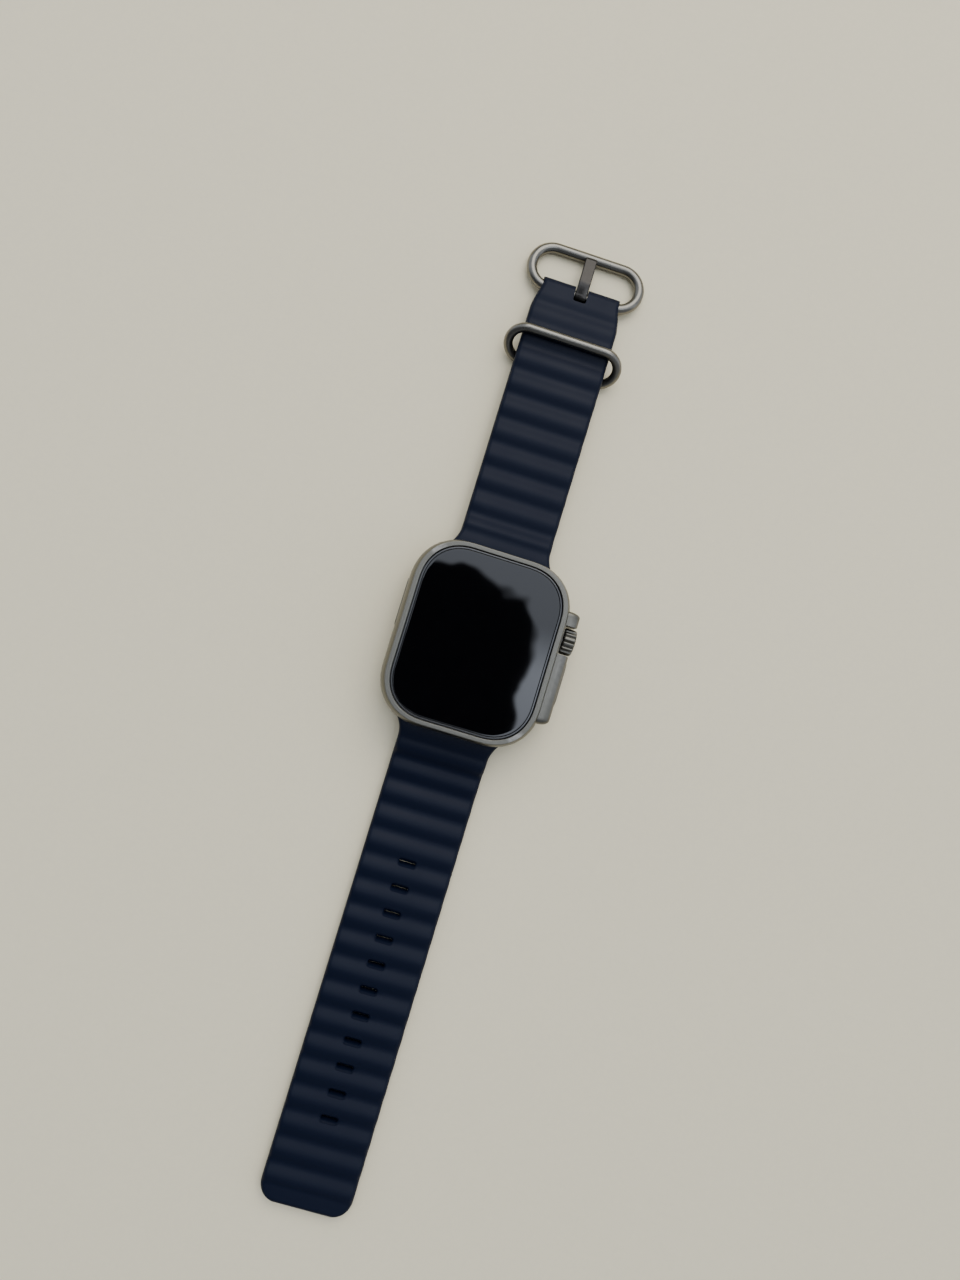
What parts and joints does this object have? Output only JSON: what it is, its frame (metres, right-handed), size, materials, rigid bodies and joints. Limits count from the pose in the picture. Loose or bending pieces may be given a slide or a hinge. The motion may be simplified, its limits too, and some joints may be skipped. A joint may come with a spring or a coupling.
{
  "type": "smartwatch",
  "caption": "Rugged rectangular smartwatch with a raised bezel, guarded crown and push buttons, on a wavy elastomer strap with a wire buckle and a wire keeper.",
  "frame": {"origin": "centre of the flat of the back crystal, on the plane the watch rests on", "axes": "+X towards the crown, +Y towards the buckle, +Z out of the display"},
  "size_m": [0.0458, 0.2608, 0.0144],
  "materials": {
    "titanium": "bead blasted titanium",
    "wire_titanium": "satin brushed titanium wire",
    "machined_steel": "machined",
    "crystal": "polished dark crystal",
    "elastomer": "smooth matte dark blue elastomer",
    "seal_rubber": "matte",
    "black_plastic": "matte",
    "circuit_board": "solder masked board",
    "copper": "wound copper",
    "emitter": "clear green lens"
  },
  "bodies": {
    "case": {"case_frame": "titanium", "front_crystal": "crystal", "display_gasket": "seal_rubber", "display_panel": "black_plastic", "display_flex": "copper", "battery": "black_plastic", "logic_board": "circuit_board", "haptic_motor": "machined_steel", "speaker_module": "black_plastic", "speaker_mesh": "black_plastic", "microphone": "machined_steel", "back_cover": "crystal", "back_gasket": "seal_rubber", "back_crystal": "crystal", "sensor_board": "circuit_board", "sensor_emitter_1": "emitter", "sensor_emitter_2": "emitter", "sensor_emitter_3": "emitter", "sensor_emitter_4": "emitter", "charging_coil": "copper", "alignment_magnet": "machined_steel", "back_screw_1": "machined_steel", "back_screw_2": "machined_steel", "back_screw_3": "machined_steel", "back_screw_4": "machined_steel", "crown_bush": "copper", "crown_seal": "seal_rubber", "crown_switch": "black_plastic", "side_button_seal": "seal_rubber", "side_button_switch": "black_plastic", "action_button_seal": "seal_rubber", "action_button_switch": "black_plastic", "buckle_lug": "machined_steel", "tail_lug": "machined_steel", "buckle_strap_root": "elastomer", "tail_strap_root": "elastomer"},
    "crown_carrier": {"crown_pusher": "machined_steel"},
    "crown": {"crown_shaft": "machined_steel", "crown_encoder_ring": "machined_steel", "crown_knob": "titanium", "crown_cap": "titanium"},
    "side_button": {"side_button_key": "titanium"},
    "action_button": {"action_button_key": "titanium"},
    "buckle_release": {"buckle_release_button": "titanium"},
    "tail_release": {"tail_release_button": "titanium"},
    "buckle_latch": {"buckle_latch_pin": "machined_steel"},
    "tail_latch": {"tail_latch_pin": "machined_steel"},
    "buckle_link_1": {"buckle_strap_1": "elastomer"},
    "buckle_link_2": {"buckle_strap_2": "elastomer"},
    "buckle_link_3": {"buckle_strap_end": "elastomer"},
    "buckle": {"buckle_frame": "wire_titanium"},
    "tongue": {"buckle_tongue": "wire_titanium"},
    "keeper": {"keeper_loop": "wire_titanium"},
    "tail_link_1": {"tail_strap_1": "elastomer"},
    "tail_link_2": {"tail_strap_2": "elastomer"},
    "tail_link_3": {"tail_strap_3": "elastomer"},
    "tail_link_4": {"tail_strap_4": "elastomer"},
    "tail_link_5": {"tail_strap_5": "elastomer"},
    "tail_link_6": {"tail_strap_6": "elastomer"}
  },
  "joints": [
    {"name": "crown_press", "type": "slide", "parent": "case", "child": "crown_carrier", "axis": [-1, 0, 0], "range_m": [0, 0.0004], "stiffness_N_per_m": 3000},
    {"name": "crown_turn", "type": "hinge", "parent": "crown_carrier", "child": "crown", "pos_m": [0.022, 0.0073, 0.0079], "axis": [1, 0, 0], "continuous": true},
    {"name": "side_button_press", "type": "slide", "parent": "case", "child": "side_button", "axis": [-1, 0, 0], "range_m": [0, 0.0004], "stiffness_N_per_m": 3000},
    {"name": "action_button_press", "type": "slide", "parent": "case", "child": "action_button", "axis": [1, 0, 0], "range_m": [0, 0.0004], "stiffness_N_per_m": 3000},
    {"name": "buckle_release_press", "type": "slide", "parent": "case", "child": "buckle_release", "axis": [0, 0, 1], "range_m": [0, 0.0006], "stiffness_N_per_m": 1500},
    {"name": "buckle_latch_lift", "type": "slide", "parent": "case", "child": "buckle_latch", "axis": [0, 0, 1], "range_m": [0, 0.0006]},
    {"name": "tail_release_press", "type": "slide", "parent": "case", "child": "tail_release", "axis": [0, 0, 1], "range_m": [0, 0.0006], "stiffness_N_per_m": 1500},
    {"name": "tail_latch_lift", "type": "slide", "parent": "case", "child": "tail_latch", "axis": [0, 0, 1], "range_m": [0, 0.0006]},
    {"name": "buckle_flex_1", "type": "hinge", "parent": "case", "child": "buckle_link_1", "pos_m": [0, 0.03226, 0.00487], "axis": [-1, 0, 0], "range_deg": [-10, 38], "stiffness_Nm_per_rad": 0.06},
    {"name": "buckle_flex_2", "type": "hinge", "parent": "buckle_link_1", "child": "buckle_link_2", "pos_m": [0, 0.04535, 0.0046], "axis": [-1, 0, 0], "range_deg": [-10, 38], "stiffness_Nm_per_rad": 0.06},
    {"name": "buckle_flex_3", "type": "hinge", "parent": "buckle_link_2", "child": "buckle_link_3", "pos_m": [0, 0.05879, 0.00465], "axis": [-1, 0, 0], "range_deg": [-10, 38], "stiffness_Nm_per_rad": 0.06},
    {"name": "tail_flex_1", "type": "hinge", "parent": "case", "child": "tail_link_1", "pos_m": [0, -0.03318, 0.00299], "axis": [1, 0, 0], "range_deg": [-10, 38], "stiffness_Nm_per_rad": 0.06},
    {"name": "tail_flex_2", "type": "hinge", "parent": "tail_link_1", "child": "tail_link_2", "pos_m": [0, -0.04615, 0.0019], "axis": [1, 0, 0], "range_deg": [-10, 38], "stiffness_Nm_per_rad": 0.06},
    {"name": "tail_flex_3", "type": "hinge", "parent": "tail_link_2", "child": "tail_link_3", "pos_m": [0, -0.06287, 0.00193], "axis": [1, 0, 0], "range_deg": [-10, 38], "stiffness_Nm_per_rad": 0.06},
    {"name": "tail_flex_4", "type": "hinge", "parent": "tail_link_3", "child": "tail_link_4", "pos_m": [0, -0.08314, 0.00192], "axis": [1, 0, 0], "range_deg": [-10, 38], "stiffness_Nm_per_rad": 0.06},
    {"name": "tail_flex_5", "type": "hinge", "parent": "tail_link_4", "child": "tail_link_5", "pos_m": [0, -0.10346, 0.00192], "axis": [1, 0, 0], "range_deg": [-10, 38], "stiffness_Nm_per_rad": 0.06},
    {"name": "tail_flex_6", "type": "hinge", "parent": "tail_link_5", "child": "tail_link_6", "pos_m": [0, -0.12379, 0.00192], "axis": [1, 0, 0], "range_deg": [-10, 38], "stiffness_Nm_per_rad": 0.06},
    {"name": "keeper_slide", "type": "slide", "parent": "buckle_link_3", "child": "keeper", "axis": [0, 1, 0], "range_m": [-0.012, 0.003]},
    {"name": "buckle_pivot", "type": "hinge", "parent": "buckle_link_3", "child": "buckle", "pos_m": [0, 0.0973, 0.00242], "axis": [1, 0, 0], "range_deg": [-45, 40]},
    {"name": "tongue_pivot", "type": "hinge", "parent": "buckle", "child": "tongue", "pos_m": [0, 0.0973, 0.00242], "axis": [1, 0, 0], "range_deg": [0, 55]}
  ],
  "couplings": [
    {"joint": "buckle_latch_lift", "follows": "buckle_release_press", "ratio": 1},
    {"joint": "tail_latch_lift", "follows": "tail_release_press", "ratio": 1}
  ]
}
